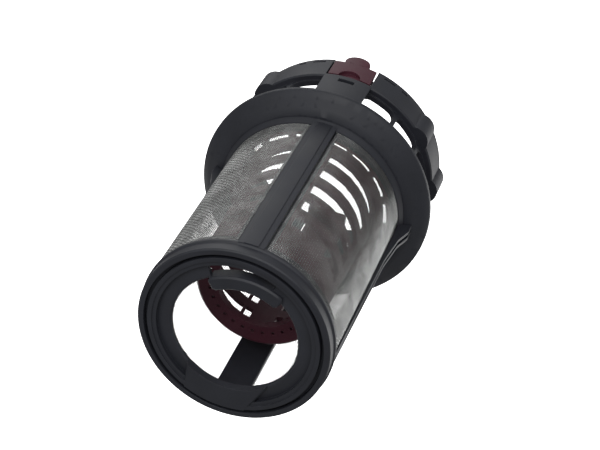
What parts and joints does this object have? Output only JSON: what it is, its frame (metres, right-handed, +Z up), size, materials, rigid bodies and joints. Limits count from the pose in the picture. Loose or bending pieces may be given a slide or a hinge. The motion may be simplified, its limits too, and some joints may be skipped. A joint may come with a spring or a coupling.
{
  "type": "dishwasher filter",
  "caption": "Cylindrical dishwasher sump filter with woven mesh walls, a lobed grip collar and a lift-out coarse insert with two lock tabs",
  "frame": {"origin": "centre of the bottom ring's lowest plane", "axes": "+Z up the cylinder to the grip, -Y towards the front rib and front tab"},
  "size_m": [0.0892, 0.0892, 0.1356],
  "materials": {
    "frame_plastic": "fine moulded texture",
    "insert_plastic": "smooth moulded",
    "mesh_steel": "fine plain weave"
  },
  "bodies": {
    "root": {"mesh_frame": "frame_plastic", "mesh_right": "mesh_steel", "mesh_left": "mesh_steel", "grip_collar": "frame_plastic"},
    "insert": {"coarse_insert": "insert_plastic"}
  },
  "joints": [
    {"name": "insert_lift", "type": "slide", "parent": "root", "child": "insert", "axis": [0, 0, 1], "range_m": [0, 0.105]}
  ]
}
